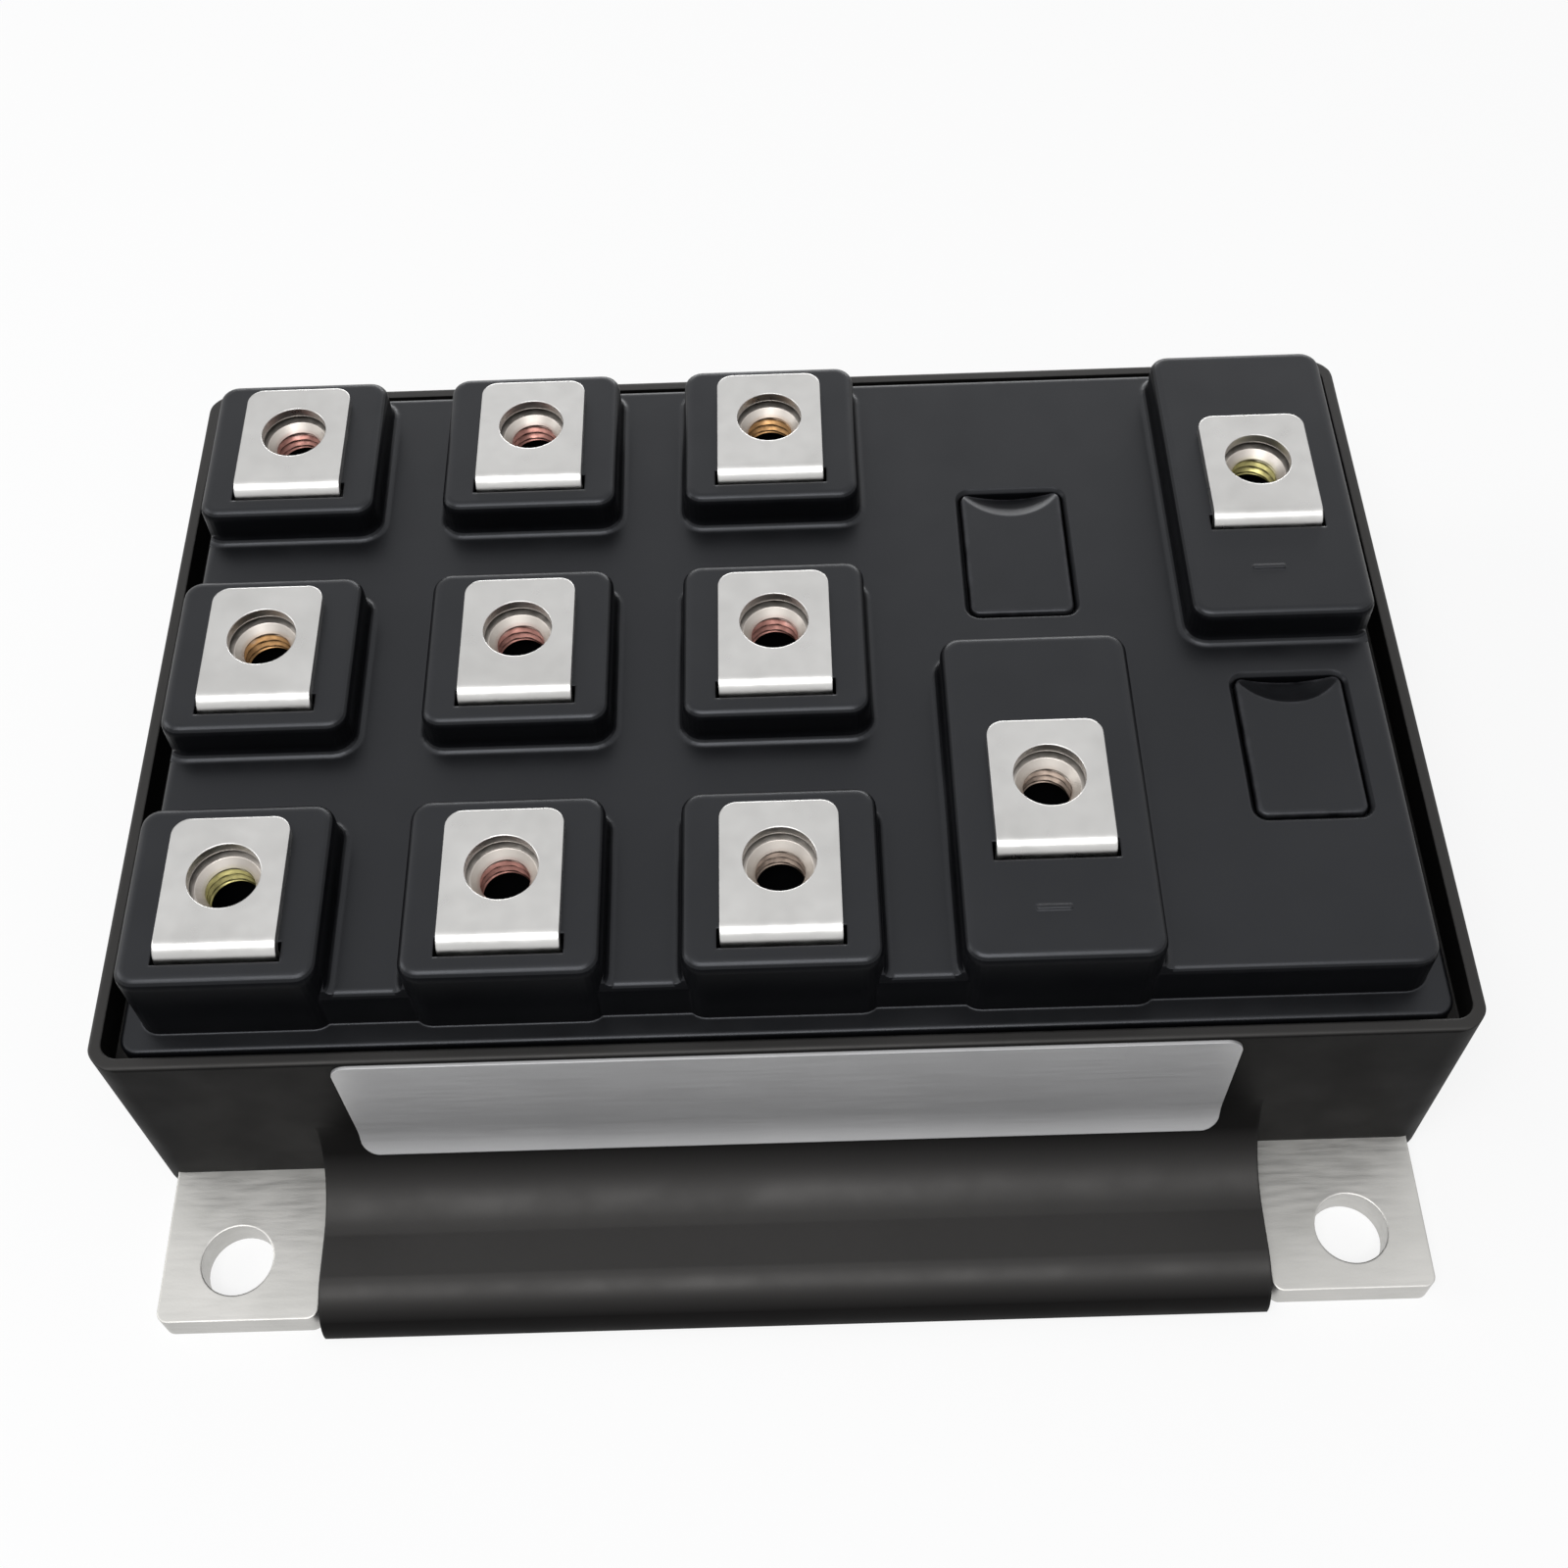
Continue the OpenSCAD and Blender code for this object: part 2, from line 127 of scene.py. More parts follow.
def plate_finish():
    """Dull nickel, clouded, with the faint lines of rolled copper showing through."""
    finish, shader = new_finish("dull_nickel_plate", (0.54, 0.53, 0.51), 1.0, 0.46)
    links = finish.node_tree.links
    cloud = place_noise(finish, 9 * mm)
    tones = [(0.3, (0.49, 0.485, 0.465)), (0.7, (0.58, 0.57, 0.55))]
    links.new(blend_colours(finish, cloud, tones), shader.inputs["Base Color"])
    rolled = place_noise(finish, 0.5 * mm, stretch=(0.12, 1.0, 1.0))
    links.new(spread_value(finish, rolled, 0.40, 0.54), shader.inputs["Roughness"])
    grain = place_noise(finish, 0.25 * mm)
    soften_edges(finish, shader, 0.25 * mm, [(grain, 0.01 * mm, 0.35), (rolled, 0.01 * mm, 0.2)])
    return finish


wear(parts["base_plate"], plate_finish())


# ---------------------------------------------------------------- Ceramic plates and tracks
# Three fired alumina plates, soldered flat to the base plate. Copper tracks bonded to them carry
# the dies and take the feet of the terminals.


def ceramic_finish():
    """Fired alumina, off-white with a faint speckle."""
    finish, shader = new_finish("fired_alumina", (0.85, 0.84, 0.80), 0.0, 0.5)
    links = finish.node_tree.links
    speckle = place_noise(finish, 1.2 * mm)
    tones = [(0.35, (0.80, 0.79, 0.75)), (0.65, (0.88, 0.87, 0.83))]
    links.new(blend_colours(finish, speckle, tones), shader.inputs["Base Color"])
    soften_edges(finish, shader, 0.1 * mm, [(place_noise(finish, 0.1 * mm), 0.01 * mm, 0.3)])
    return finish


def copper_finish():
    """Bare copper with a light bloom."""
    finish, shader = new_finish("bonded_copper", (0.72, 0.38, 0.22), 1.0, 0.4)
    links = finish.node_tree.links
    bloom = place_noise(finish, 2.5 * mm)
    tones = [(0.35, (0.62, 0.30, 0.17)), (0.65, (0.78, 0.43, 0.27))]
    links.new(blend_colours(finish, bloom, tones), shader.inputs["Base Color"])
    soften_edges(finish, shader, 0.08 * mm, [(place_noise(finish, 0.2 * mm), 0.01 * mm, 0.3)])
    return finish


wear(parts["ceramic_substrates"], ceramic_finish())
wear(parts["copper_tracks"], copper_finish())


# ---------------------------------------------------------------- Dies and bond wires
# Sawn squares of polished silicon, one transistor and one diode on each island, joined by
# looped aluminium wires welded to their faces.


def silicon_finish(name, dark, light):
    """Polished silicon, whose thin film shifts its colour from place to place."""
    finish, shader = new_finish(name, dark, 0.4, 0.15)
    links = finish.node_tree.links
    film = place_noise(finish, 4 * mm)
    links.new(blend_colours(finish, film, [(0.3, dark), (0.7, light)]), shader.inputs["Base Color"])
    soften_edges(finish, shader, 0.03 * mm, [(place_noise(finish, 0.3 * mm), 0.002 * mm, 0.3)])
    return finish


def wire_finish():
    """Drawn aluminium wire."""
    finish, shader = new_finish("drawn_aluminium", (0.80, 0.80, 0.81), 1.0, 0.25)
    links = finish.node_tree.links
    drawn = place_noise(finish, 0.15 * mm)
    links.new(spread_value(finish, drawn, 0.2, 0.35), shader.inputs["Roughness"])
    soften_edges(finish, shader, 0.02 * mm, [(drawn, 0.003 * mm, 0.3)])
    return finish


violet_silicon = silicon_finish("transistor_silicon", (0.10, 0.10, 0.14), (0.16, 0.14, 0.20))
grey_silicon = silicon_finish("diode_silicon", (0.12, 0.12, 0.14), (0.18, 0.18, 0.20))
wear(parts["transistor_dies"], violet_silicon)
wear(parts["diode_dies"], grey_silicon)
wear(parts["bond_wires"], wire_finish())


# ---------------------------------------------------------------- Case frame
# One injection moulding of glass-filled plastic, glued round the base plate. Its surface is
# satin, with a faint grain and pale rubs along the edges that get handled. Its side walls
# reflect less than its tops: a painted shade for the darker surroundings that the walls face.


cool_sheen = (0.90, 0.93, 1.0)
warm_sheen = (1.0, 0.975, 0.955)
moulded_roll = 0.3 * mm
rub_and_highlight_width = 0.5 * mm


def moulded_finish(name, dark, light, edge_rub_and_highlight, sheen_tint=cool_sheen, dullness=(0.32, 0.40)):
    """Satin black moulding: clouded colour, fine grain, and paler edges (wear on case and cover,
    painted highlight on plugs).
    """
    painted_wall_reflection, painted_top_reflection = 0.04, 0.40
    finish, shader = new_finish(name, dark, 0.0, 0.36)
    shader.inputs["Specular Tint"].default_value = (*sheen_tint, 1.0)
    nodes, links = finish.node_tree.nodes, finish.node_tree.links
    facing = nodes.new("ShaderNodeNewGeometry")
    upward = nodes.new("ShaderNodeSeparateXYZ")
    links.new(facing.outputs["Normal"], upward.inputs["Vector"])
    # Reflection painted weaker on faces that turn sideways than on faces that look up: a painted
    # shade for the darker surroundings that the walls face.
    painted_facing_reflection = spread_value(finish, upward.outputs["Z"], painted_wall_reflection, painted_top_reflection, 0.50, 0.92)
    links.new(painted_facing_reflection, shader.inputs["Specular IOR Level"])
    cloud = place_noise(finish, 14 * mm)
    body = blend_colours(finish, cloud, [(0.3, dark), (0.7, light)])
    edge = nodes.new("ShaderNodeBevel")
    edge.samples = 6
    edge.inputs["Radius"].default_value = rub_and_highlight_width
    turn = nodes.new("ShaderNodeVectorMath")
    turn.operation = "DISTANCE"
    links.new(edge.outputs["Normal"], turn.inputs[0])
    links.new(facing.outputs["Normal"], turn.inputs[1])
    # Edges paler in the rub colour where the rounded look turns them: wear on the case and cover, a
    # painted highlight on the plugs.
    rub_and_highlight_mask = nodes.new("ShaderNodeMath")
    rub_and_highlight_mask.operation = "MULTIPLY"
    links.new(turn.outputs["Value"], rub_and_highlight_mask.inputs[0])
    links.new(spread_value(finish, place_noise(finish, 1.5 * mm), 0.0, 1.2), rub_and_highlight_mask.inputs[1])
    mix = nodes.new("ShaderNodeMix")
    mix.data_type = "RGBA"
    links.new(rub_and_highlight_mask.outputs["Value"], mix.inputs["Factor"])
    links.new(body, mix.inputs["A"])
    mix.inputs["B"].default_value = (*edge_rub_and_highlight, 1.0)
    links.new(mix.outputs["Result"], shader.inputs["Base Color"])
    sheen = place_noise(finish, 5 * mm)
    links.new(spread_value(finish, sheen, *dullness), shader.inputs["Roughness"])
    grain = place_noise(finish, 0.22 * mm)
    flow = place_noise(finish, 7 * mm, detail=1.0)
    soften_edges(finish, shader, moulded_roll, [(grain, 0.012 * mm, 0.35), (flow, 0.05 * mm, 0.25)])
    return finish


case_finish = moulded_finish(
    "moulded_case", (0.0052, 0.0050, 0.0049), (0.0066, 0.0063, 0.0062), (0.014, 0.014, 0.014),
    sheen_tint=warm_sheen, dullness=(0.46, 0.56),
)
wear(parts["case_frame"], case_finish)


# ---------------------------------------------------------------- Resin seal
# Epoxy poured over the power stage once the terminals stand in it. It cures hard and dull, and
# closes the case below the cover.


def resin_finish():
    """Cast epoxy with a slightly uneven skin."""
    finish, shader = new_finish("cast_epoxy", (0.04, 0.04, 0.04), 0.0, 0.35)
    links = finish.node_tree.links
    skin = place_noise(finish, 3 * mm)
    tones = [(0.3, (0.03, 0.03, 0.03)), (0.7, (0.05, 0.05, 0.05))]
    links.new(blend_colours(finish, skin, tones), shader.inputs["Base Color"])
    soften_edges(finish, shader, 0.2 * mm, [(skin, 0.05 * mm, 0.3)])
    return finish


wear(parts["resin_seal"], resin_finish())


# ---------------------------------------------------------------- Cover
# The second moulding, dropped inside the case rim: a flange, a raised deck, and eleven bosses that
# rise from it in hollow fillets, with pockets for the nuts, slots for the terminals and two
# ports. Its underside, which can't be seen, is closed here, where the real one is a shell.

cover_low, cover_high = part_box("cover")
flange_thick, flange_corner, flange_roll = 2.5 * mm, 1.6 * mm, 0.4 * mm
flange_top = cover_low.z + flange_thick
boss_top = cover_high.z
boss_rise = 3.7 * mm
deck_top = boss_top - boss_rise
deck_corner, deck_roll = 2.2 * mm, 0.7 * mm
terminal_names = [n for n in parts if n.startswith("terminal_") and n != "terminal_nuts"]
nut_low, nut_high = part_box("terminal_nuts")
nut_flats = 8 * mm
pocket_gap = 0.2 * mm
plate_behind_hole = 5.7 * mm
boss_half_width = 8.3 * mm
boss_corner, boss_roll, foot_hollow = 1.8 * mm, 0.9 * mm, 0.9 * mm
small_boss_reach = (9.6 * mm, 7.7 * mm)
main_boss_reach = {
    "terminal_main_front": (17.1 * mm, 15.9 * mm),
    "terminal_main_back": (17.8 * mm, 15.2 * mm),
}
bar_length, bar_width, bar_rise = 3.0 * mm, 0.5 * mm, 0.15 * mm
slot_half_width, slot_front, slot_back = 5.3 * mm, 7.7 * mm, 5.85 * mm
well_radius, well_floor, well_sides = 2.9 * mm, 1.2 * mm, 48
plug_shift = {"plug_back": 1.5 * mm, "plug_front": 1.1 * mm}
plug_half_width, plug_half_length, plug_corner = 4.8 * mm, 7.4 * mm, 0.9 * mm
plug_head = 1.5 * mm
port_gap, port_bevel, port_ledge = 0.2 * mm, 0.35 * mm, 1.1 * mm
trim = 0.05 * mm


def hole_of(name):
    """The middle of a terminal's screw hole, from the box of its plate."""
    low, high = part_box(name)
    return Vector(((low.x + high.x) / 2, high.y - plate_behind_hole, high.z))


def rolled_edge(top, radius, steps=5):
    """Profile of an edge rolled over from the wall to the top, as (grow, height)."""
    turns = [math.radians(90 * i / steps) for i in range(steps + 1)]
    return [(-radius * (1 - math.cos(a)), top - radius * (1 - math.sin(a))) for a in turns]


def hollow_edge(foot, radius, steps=5):
    """Profile of a hollow fillet from the deck up to the wall, as (grow, height)."""
    turns = [math.radians(90 * i / steps) for i in range(steps + 1)]
    return [(radius * (1 - math.sin(a)), foot + radius * (1 - math.cos(a))) for a in turns]


def add_block(mesh, rect, corner, profile, steps=7):
    """A closed block over a rectangle with rounded corners, grown by each step of a profile."""
    low_x, low_y, high_x, high_y = rect
    loops = []
    for grow, height in profile:
        radius = max(corner + grow, trim)
        loop = []
        for quarter, (side_x, side_y) in enumerate(((1, 1), (-1, 1), (-1, -1), (1, -1))):
            centre_x = (high_x + grow - radius) if side_x > 0 else (low_x - grow + radius)
            centre_y = (high_y + grow - radius) if side_y > 0 else (low_y - grow + radius)
            for i in range(steps):
                angle = math.pi / 2 * (quarter + i / (steps - 1))
                x, y = centre_x + radius * math.cos(angle), centre_y + radius * math.sin(angle)
                loop.append(mesh.verts.new((x, y, height)))
        loops.append(loop)
    mesh.faces.new(list(reversed(loops[0])))
    for here, there in zip(loops, loops[1:]):
        for i in range(len(here)):
            j = (i + 1) % len(here)
            mesh.faces.new((here[i], here[j], there[j], there[i]))
    mesh.faces.new(loops[-1])


def add_prism(mesh, centre_x, centre_y, radius, sides, low, high):
    """A closed upright prism, with one corner on the Y axis."""
    turns = [math.pi / 2 + 2 * math.pi * i / sides for i in range(sides)]
    corners = [(centre_x + radius * math.cos(a), centre_y + radius * math.sin(a)) for a in turns]
    ends = [[mesh.verts.new((x, y, z)) for x, y in corners] for z in (low, high)]
    mesh.faces.new(list(reversed(ends[0])))
    mesh.faces.new(ends[1])
    for i in range(sides):
        j = (i + 1) % sides
        mesh.faces.new((ends[0][i], ends[0][j], ends[1][j], ends[1][i]))


def solid_from(mesh, name):
    """Turns a drawn mesh into an object of its own."""
    data = bpy.data.meshes.new(name)
    mesh.to_mesh(data)
    mesh.free()
    piece = bpy.data.objects.new(name, data)
    bpy.context.scene.collection.objects.link(piece)
    return piece


def work(piece, tool, operation):
    """Joins a tool to a piece, cuts it away, or keeps what they share. The tool is used up."""
    cut = piece.modifiers.new("cut", "BOOLEAN")
    cut.operation = operation
    cut.solver = "EXACT"
    cut.object = tool
    seen = piece.evaluated_get(bpy.context.evaluated_depsgraph_get())
    data = bpy.data.meshes.new_from_object(seen)
    piece.modifiers.remove(cut)
    piece.data = data
    bpy.data.objects.remove(tool)


def boss_rect(name):
    """Where a terminal's boss stands: low x, low y, high x, high y."""
    hole = hole_of(name)
    before, behind = main_boss_reach.get(name, small_boss_reach)
    return (hole.x - boss_half_width, hole.y - before, hole.x + boss_half_width, hole.y + behind)


def port_rect(name):
    """Plan of a plug's head, from the plug's place: low x, low y, high x, high y."""
    low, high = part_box(name)
    x, y = (low.x + high.x) / 2, (low.y + high.y) / 2 + plug_shift[name]
    return (x - plug_half_width, y - plug_half_length, x + plug_half_width, y + plug_half_length)


flange_rect = (cover_low.x, cover_low.y, cover_high.x, cover_high.y)
deck_rect = (
    cover_low.x + 1.7 * mm, cover_low.y + 2.3 * mm, cover_high.x - 1.7 * mm, cover_high.y - 2.6 * mm
)

# The flange, and the deck on it.
drawn = bmesh.new()
flange_wall = [(0, cover_low.z)] + rolled_edge(flange_top, flange_roll)
add_block(drawn, flange_rect, flange_corner, flange_wall)
cover = solid_from(drawn, "cover_moulding")

drawn = bmesh.new()
deck_wall = [(0, flange_top - mm)] + rolled_edge(deck_top, deck_roll)
add_block(drawn, deck_rect, deck_corner, deck_wall)
work(cover, solid_from(drawn, "deck"), "UNION")

# The hollow fillets round the bosses, kept inside the deck's own outline.
drawn = bmesh.new()
for name in terminal_names:
    foot = hollow_edge(deck_top - 0.02 * mm, foot_hollow)
    profile = [(foot_hollow, deck_top - 0.5 * mm)] + foot + [(-0.3 * mm, foot[-1][1])]
    add_block(drawn, boss_rect(name), boss_corner, profile)
feet = solid_from(drawn, "boss_feet")
drawn = bmesh.new()
trimmed = tuple(side + (trim if i < 2 else -trim) for i, side in enumerate(deck_rect))
feet_roll = deck_roll + foot_hollow - trim
feet_limit = [(0, flange_top)] + rolled_edge(deck_top + foot_hollow, feet_roll)
add_block(drawn, trimmed, deck_corner, feet_limit)
work(feet, solid_from(drawn, "deck_plan"), "INTERSECT")
work(cover, feet, "UNION")

# The bosses, and a raised bar in front of each main terminal.
boss_wall = [(0, flange_top - mm)] + rolled_edge(boss_top, boss_roll)
drawn = bmesh.new()
for name in terminal_names:
    add_block(drawn, boss_rect(name), boss_corner, boss_wall)
work(cover, solid_from(drawn, "bosses"), "UNION")

drawn = bmesh.new()
for name in main_boss_reach:
    bar = hole_of(name) + Vector((-0.7 * mm, -12.3 * mm, 0))
    bar_rect = (
        bar.x - bar_length / 2, bar.y - bar_width / 2, bar.x + bar_length / 2, bar.y + bar_width / 2
    )
    bar_wall = [(0, boss_top - 0.2 * mm), (0, boss_top + 0.1 * mm), (-0.1 * mm, boss_top + bar_rise)]
    add_block(drawn, bar_rect, 0.2 * mm, bar_wall)
work(cover, solid_from(drawn, "bars"), "UNION")

# The openings: a pocket for each nut, a slot for each strip, and the two stepped ports.
pocket_radius = (nut_flats + pocket_gap) / math.sqrt(3)
drawn = bmesh.new()
for name in terminal_names:
    hole = hole_of(name)
    add_prism(drawn, hole.x, hole.y, pocket_radius, 6, nut_low.z - trim, boss_top + mm)
    slot_rect = (
        hole.x - slot_half_width, hole.y - slot_front, hole.x + slot_half_width, hole.y - slot_back
    )
    add_block(drawn, slot_rect, trim, [(0, cover_low.z - mm), (0, boss_top + mm)])
head_seat = deck_top - plug_head
port_wall = [
    (-port_ledge, cover_low.z - mm), (-port_ledge, head_seat), (port_gap, head_seat),
    (port_gap, deck_top - port_bevel), (port_gap + port_bevel + mm, deck_top + mm),
]
for name in plug_shift:
    add_block(drawn, port_rect(name), plug_corner, port_wall)
work(cover, solid_from(drawn, "openings"), "DIFFERENCE")

# The closed wells under the nuts, for the ends of the screws.
drawn = bmesh.new()
for name in terminal_names:
    hole = hole_of(name)
    low, high = cover_low.z + well_floor, nut_low.z + trim
    add_prism(drawn, hole.x, hole.y, well_radius, well_sides, low, high)
work(cover, solid_from(drawn, "wells"), "DIFFERENCE")

cover_finish = moulded_finish(
    "moulded_cover", (0.0028, 0.0030, 0.0036), (0.0040, 0.0042, 0.0050), (0.014, 0.014, 0.016)
)
wear(cover, cover_finish)
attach(cover, "root")
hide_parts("cover")


# ---------------------------------------------------------------- Captive nuts
# Plated steel nuts, cut with a coarse thread, that lie loose in the hexagon pockets, a little
# below the plates. Their colour is pale on top, and turns pink, orange or yellow and darker
# down in the thread.

nut_drop = 0.5 * mm
thread_inner = 2.1 * mm
thread_outer = 2.5 * mm
thread_pitch = 0.8 * mm
turn_steps = 72
steps_a_pitch = 10
bore_sink = 0.7 * mm
nut_chamfer = 0.35 * mm


def nut_mesh(centre_x, centre_y, low, high, name):
    """One nut as a closed surface: thread up the bore, then over the top, down and back."""
    corner = nut_flats / math.sqrt(3)
    mouth = thread_inner + bore_sink
    wall_low, wall_high = low + bore_sink, high - bore_sink
    rings = max(2, round((wall_high - wall_low) / thread_pitch * steps_a_pitch))
    levels = [("thread", wall_low + (wall_high - wall_low) * i / rings) for i in range(rings + 1)]
    levels += [("round", high, mouth), ("round", high, nut_flats / 2)]
    levels += [("hex", high - nut_chamfer), ("hex", low + nut_chamfer)]
    levels += [("round", low, nut_flats / 2), ("round", low, mouth)]
    mesh = bmesh.new()
    loops = []
    for level in levels:
        loop = []
        for i in range(turn_steps):
            angle = 2 * math.pi * i / turn_steps
            if level[0] == "thread":
                phase = (level[1] / thread_pitch - i / turn_steps) % 1.0
                depth = min(1.0, 1.25 * abs(2 * phase - 1))
                ends = min(level[1] - wall_low, wall_high - level[1]) / thread_pitch
                cut = min(1.0, max(0.0, ends * 4))
                radius = thread_inner + (thread_outer - thread_inner) * depth * cut
            elif level[0] == "round":
                radius = level[2]
            else:
                side = (angle + math.pi / 6) % (math.pi / 3) - math.pi / 6
                radius = min(nut_flats / 2 / math.cos(side), corner)
            x, y = centre_x + radius * math.cos(angle), centre_y + radius * math.sin(angle)
            loop.append(mesh.verts.new((x, y, level[1])))
        loops.append(loop)
    for here, there in zip(loops, loops[1:] + loops[:1]):
        for i in range(turn_steps):
            j = (i + 1) % turn_steps
            mesh.faces.new((here[i], there[i], there[j], here[j]))
    bmesh.ops.recalc_face_normals(mesh, faces=mesh.faces)
    data = bpy.data.meshes.new(name)
    mesh.to_mesh(data)
    mesh.free()
    return data


nut_top = nut_high.z - nut_drop
pale_above, tint_below = nut_top - 0.4 * mm, nut_top - 1.7 * mm
tints = {
    "pink": (0.40, 0.20, 0.17),
    "orange": (0.44, 0.25, 0.11),
    "yellow": (0.42, 0.38, 0.16),
    "pale": (0.38, 0.30, 0.25),
}
nut_tints = {
    "left_front": "yellow", "left_middle": "orange", "left_back": "pink",
    "inner_front": "pink", "inner_middle": "pink", "inner_back": "pink",
    "centre_front": "pale", "centre_middle": "pink", "centre_back": "orange",
    "main_front": "pale", "main_back": "yellow",
}


def nut_finish(name, deep):
    """Zinc plating, pale on the top of the nut, tinted and darker down in its thread."""
    pale = (0.56, 0.52, 0.48)
    finish, shader = new_finish(name, pale, 1.0, 0.42)
    nodes, links = finish.node_tree.nodes, finish.node_tree.links
    where = nodes.new("ShaderNodeTexCoord")
    height = nodes.new("ShaderNodeSeparateXYZ")
    links.new(where.outputs["Object"], height.inputs["Vector"])
    down = spread_value(finish, height.outputs["Z"], 1.0, 0.0, tint_below, pale_above)
    cloud = spread_value(finish, place_noise(finish, 1.6 * mm), 0.55, 1.25)
    patch = nodes.new("ShaderNodeMath")
    patch.operation = "MULTIPLY"
    links.new(down, patch.inputs[0])
    links.new(cloud, patch.inputs[1])
    dark = tuple(0.55 * tone for tone in deep)
    tones = [(0.0, pale), (0.6, deep), (1.0, dark)]
    links.new(blend_colours(finish, patch.outputs["Value"], tones), shader.inputs["Base Color"])
    stain = place_noise(finish, 0.8 * mm)
    links.new(spread_value(finish, stain, 0.36, 0.52), shader.inputs["Roughness"])
    soften_edges(finish, shader, 0.08 * mm, [(place_noise(finish, 0.15 * mm), 0.01 * mm, 0.4)])
    return finish


zinc = {tint: nut_finish("zinc_plate_" + tint, deep) for tint, deep in tints.items()}

for name in sorted(terminal_names):
    hole = hole_of(name)
    data = nut_mesh(hole.x, hole.y, nut_low.z, nut_top, name.replace("terminal", "nut"))
    nut = bpy.data.objects.new(name.replace("terminal", "nut"), data)
    bpy.context.scene.collection.objects.link(nut)
    wear(nut, zinc[nut_tints[name.replace("terminal_", "")]])
    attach(nut, "root")
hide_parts("terminal_nuts")


# ---------------------------------------------------------------- Terminals
# Copper strip, blanked, punched and folded twice, with a satin nickel plating. The plate lies on
# the boss over its nut, and the leg goes down through the cover.


def terminal_finish():
    """Satin nickel, a little smeared from handling, with a fine grain."""
    finish, shader = new_finish("satin_nickel_strip", (0.545, 0.54, 0.53), 1.0, 0.32)
    links = finish.node_tree.links
    cloud = place_noise(finish, 6 * mm)
    tones = [(0.3, (0.51, 0.505, 0.495)), (0.7, (0.58, 0.575, 0.565))]
    links.new(blend_colours(finish, cloud, tones), shader.inputs["Base Color"])
    smear = place_noise(finish, 1.8 * mm)
    links.new(spread_value(finish, smear, 0.27, 0.38), shader.inputs["Roughness"])
    grain = place_noise(finish, 0.2 * mm)
    soften_edges(finish, shader, 0.2 * mm, [(grain, 0.008 * mm, 0.3)])
    return finish


nickel_strip = terminal_finish()
for name in terminal_names:
    wear(parts[name], nickel_strip)


# ---------------------------------------------------------------- Filling port plugs
# Small mouldings pressed into the cover once the gel has been poured, each with a scooped edge
# to lift it by.

neck_inset, neck_length = 1.3 * mm, mm
plug_roll = 0.35 * mm
scoop_radius = 12 * mm
# The plugs' rub colour, far paler than the case's and cover's, is a painted highlight along their
# outlines and the edges of their scoops.
plug_finish = moulded_finish(
    "moulded_plug", (0.0026, 0.0028, 0.0034), (0.0036, 0.0038, 0.0046), (0.10, 0.10, 0.11)
)
neck = [(-neck_inset, head_seat - neck_length), (-neck_inset, head_seat), (0, head_seat)]
for name in plug_shift:
    low_x, low_y, high_x, high_y = port_rect(name)
    drawn = bmesh.new()
    add_block(drawn, port_rect(name), plug_corner, neck + rolled_edge(deck_top, plug_roll))
    plug = solid_from(drawn, name + "_moulding")
    drawn = bmesh.new()
    bmesh.ops.create_uvsphere(drawn, u_segments=96, v_segments=64, radius=scoop_radius)
    scoop = Vector(((low_x + high_x) / 2, high_y + 2.5 * mm, deck_top + 10.7 * mm))
    bmesh.ops.translate(drawn, verts=drawn.verts, vec=scoop)
    work(plug, solid_from(drawn, "scoop"), "DIFFERENCE")
    wear(plug, plug_finish)
    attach(plug, "root")
    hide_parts(name)


# ---------------------------------------------------------------- Rating plate
# Thin aluminium foil, stuck to the front wall and rubbed down over the hollow curve below it.
# It is bare, with a brushed grain along its length.


def rating_finish():
    """Bare foil, brushed along its length."""
    finish, shader = new_finish("brushed_foil", (0.43, 0.43, 0.435), 0.5, 0.42)
    links = finish.node_tree.links
    cloud = place_noise(finish, 12 * mm)
    tones = [(0.3, (0.41, 0.41, 0.415)), (0.7, (0.45, 0.45, 0.455))]
    links.new(blend_colours(finish, cloud, tones), shader.inputs["Base Color"])
    brushed = place_noise(finish, 0.12 * mm, stretch=(0.02, 1.0, 1.0))
    links.new(spread_value(finish, brushed, 0.36, 0.52), shader.inputs["Roughness"])
    soften_edges(finish, shader, 0.1 * mm, [(brushed, 0.01 * mm, 0.4)])
    return finish


wear(parts["rating_plate"], rating_finish())


# ---------------------------------------------------------------- Floor
# A plain white table, which takes the part's shadow. It is wide enough that its far edge shows
# only in views from low down.

floor_size = 6.0


def background_rays(nodes, links):
    """1 for a look at the background, straight, in a reflection or through, and 0 for light."""
    ray = nodes.new("ShaderNodeLightPath")
    seen = ray.outputs["Is Camera Ray"]
    for kind in ("Is Glossy Ray", "Is Transmission Ray"):
        either = nodes.new("ShaderNodeMath")
        either.operation = "MAXIMUM"
        links.new(seen, either.inputs[0])
        links.new(ray.outputs[kind], either.inputs[1])
        seen = either.outputs["Value"]
    return seen


floor_data = bpy.data.meshes.new("floor")
floor_mesh = bmesh.new()
bmesh.ops.create_grid(floor_mesh, x_segments=1, y_segments=1, size=floor_size / 2)
floor_mesh.to_mesh(floor_data)
floor_mesh.free()
floor = bpy.data.objects.new("floor", floor_data)
bpy.context.scene.collection.objects.link(floor)

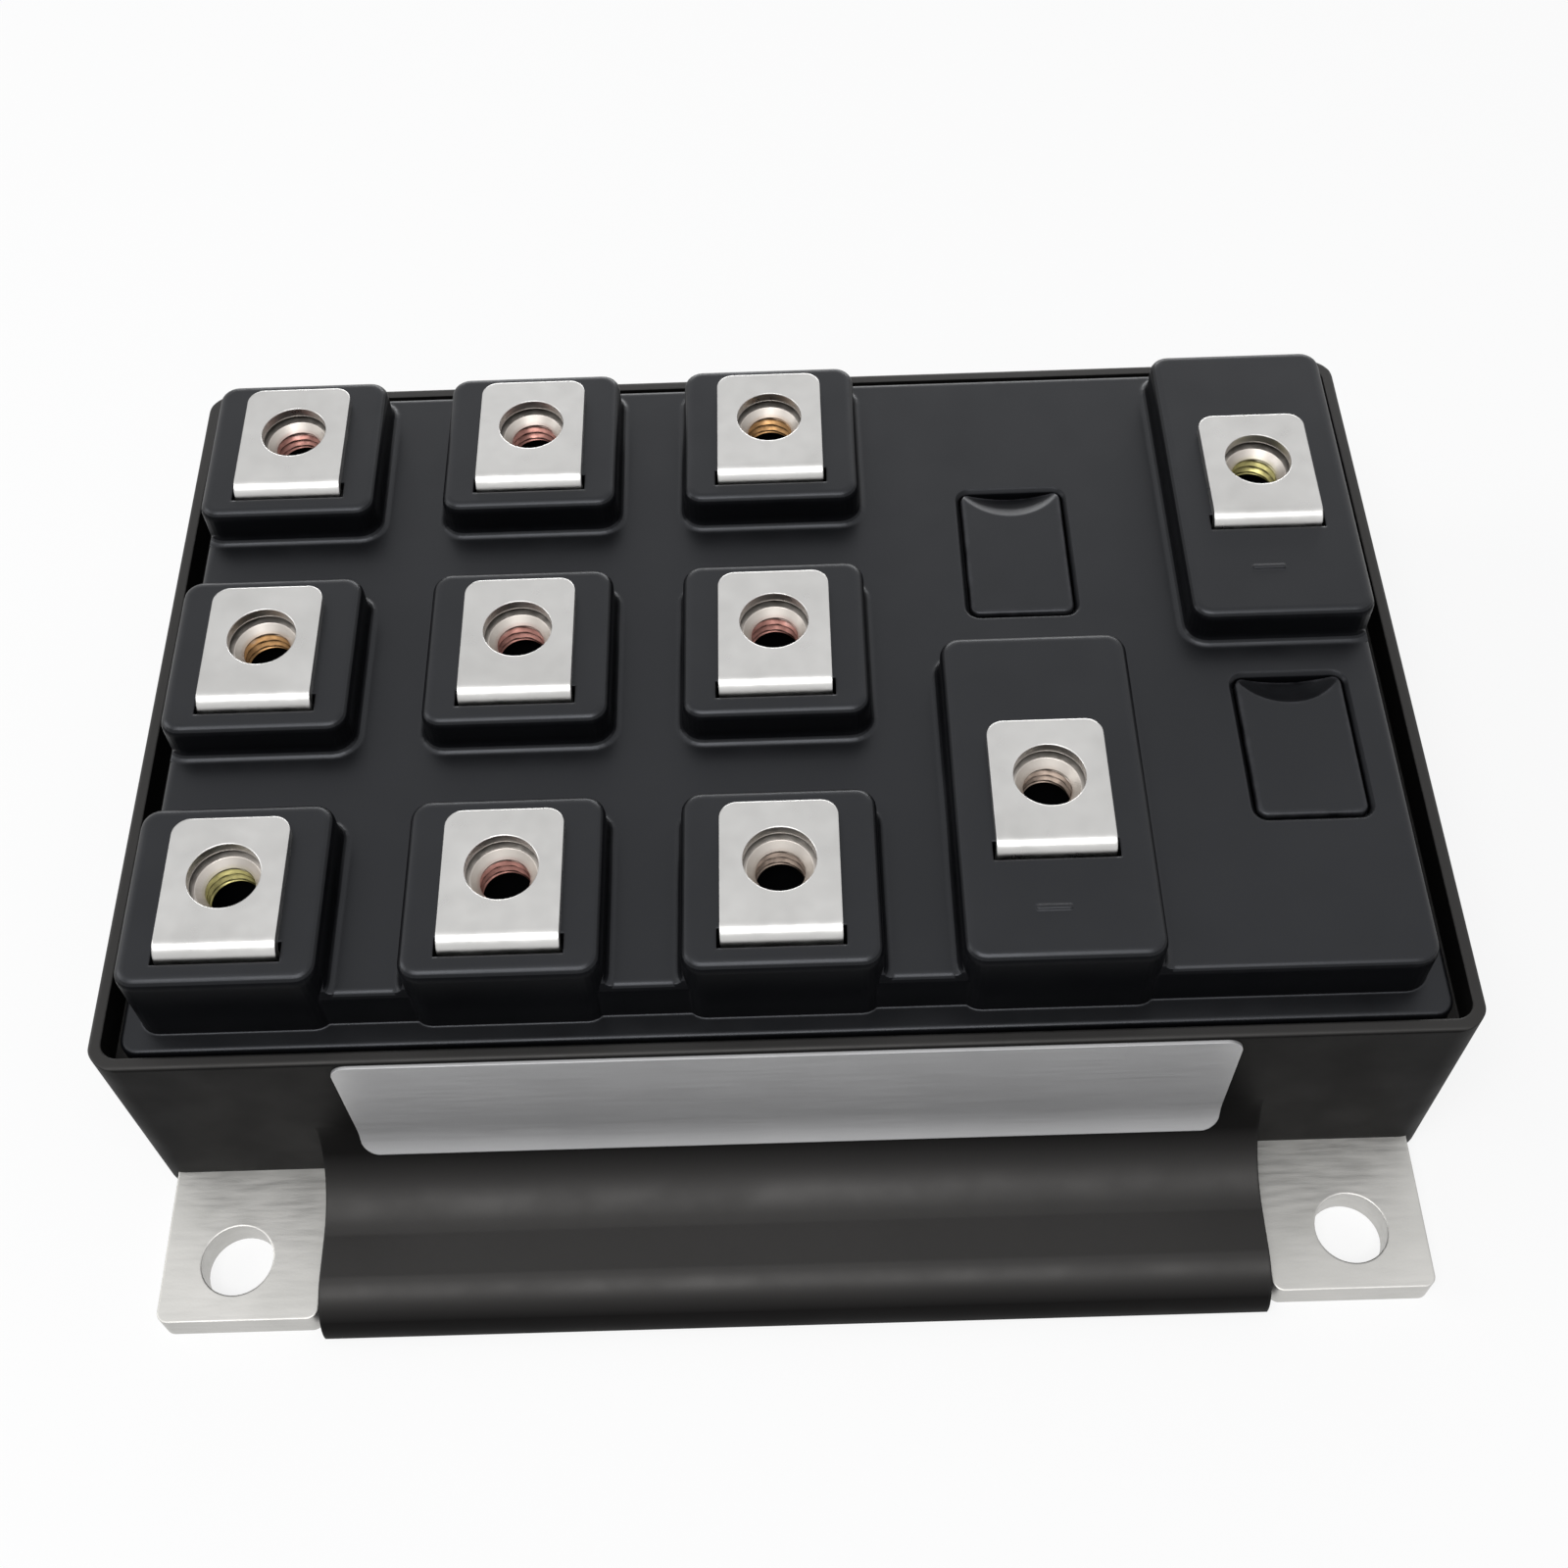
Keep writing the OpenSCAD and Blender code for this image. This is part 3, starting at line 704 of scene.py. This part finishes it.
floor_paint = bpy.data.materials.new("white_table")
floor_paint.use_nodes = True
table, table_links = floor_paint.node_tree.nodes, floor_paint.node_tree.links
matte = table["Principled BSDF"]
matte.inputs["Base Color"].default_value = (0.9, 0.9, 0.9, 1.0)
matte.inputs["Roughness"].default_value = 0.9
matte.inputs["Specular IOR Level"].default_value = 0.1
glow = table.new("ShaderNodeEmission")
glow.inputs["Color"].default_value = (1.0, 1.0, 1.0, 1.0)
glow_share = 0.8
share = table.new("ShaderNodeMath")
share.operation = "MULTIPLY"
share.inputs[1].default_value = glow_share
blend = table.new("ShaderNodeMixShader")
table_links.new(background_rays(table, table_links), share.inputs[0])
table_links.new(share.outputs["Value"], blend.inputs["Fac"])
table_links.new(matte.outputs["BSDF"], blend.inputs[1])
table_links.new(glow.outputs["Emission"], blend.inputs[2])
table_links.new(blend.outputs["Shader"], table["Material Output"].inputs["Surface"])
wear(floor, floor_paint)


# ---------------------------------------------------------------- Light
# A white room that lights all sides evenly, and three soft boxes: one in front and above, which
# draws the bright lines along the folds and rolled edges, one on the left, and a low one behind
# that catches the scoops of the plugs.

room = bpy.data.worlds.new("room")
bpy.context.scene.world = room
room.use_nodes = True
walls, wall_links = room.node_tree.nodes, room.node_tree.links
light_on_part = walls["Background"]
light_on_part.inputs["Color"].default_value = (0.97, 0.98, 1.0, 1.0)
light_on_part.inputs["Strength"].default_value = 0.35
backdrop = walls.new("ShaderNodeBackground")
backdrop.inputs["Color"].default_value = (1.0, 1.0, 1.0, 1.0)
backdrop.inputs["Strength"].default_value = 1.0
room_mix = walls.new("ShaderNodeMixShader")
wall_links.new(background_rays(walls, wall_links), room_mix.inputs["Fac"])
wall_links.new(light_on_part.outputs["Background"], room_mix.inputs[1])
wall_links.new(backdrop.outputs["Background"], room_mix.inputs[2])
wall_links.new(room_mix.outputs["Shader"], walls["World Output"].inputs["Surface"])


def soft_box(name, place, width, depth, power):
    """A soft box of the given size in metres, turned to face the part."""
    data = bpy.data.lights.new(name, "AREA")
    data.shape = "RECTANGLE"
    data.size = width
    data.size_y = depth
    data.energy = power
    box = bpy.data.objects.new(name, data)
    box.location = place
    box.rotation_euler = (-Vector(place)).to_track_quat("-Z", "Y").to_euler()
    bpy.context.scene.collection.objects.link(box)


soft_box("front_soft_box", (-0.06, -0.26, 0.62), 0.5, 0.26, 2.7)
soft_box("left_soft_box", (-0.62, 0.05, 0.30), 0.3, 0.5, 1.2)
soft_box("back_strip_light", (0.05, 0.80, 0.17), 0.8, 0.16, 2.4)


# ---------------------------------------------------------------- Camera
# Above and in front of the part, close enough for the back to look clearly smaller, and turned
# down by about 56 degrees.

eye = bpy.data.cameras.new("camera")
eye.sensor_width = 36.0
eye.lens = 45.24
eye.clip_start = 0.01
camera = bpy.data.objects.new("camera", eye)
camera.location = (1.77 * mm, -109.94 * mm, 171.39 * mm)
camera.rotation_euler = [math.radians(turn) for turn in (33.625, 1.340, -1.238)]
bpy.context.scene.collection.objects.link(camera)
bpy.context.scene.camera = camera
bpy.context.scene.view_settings.view_transform = "Standard"
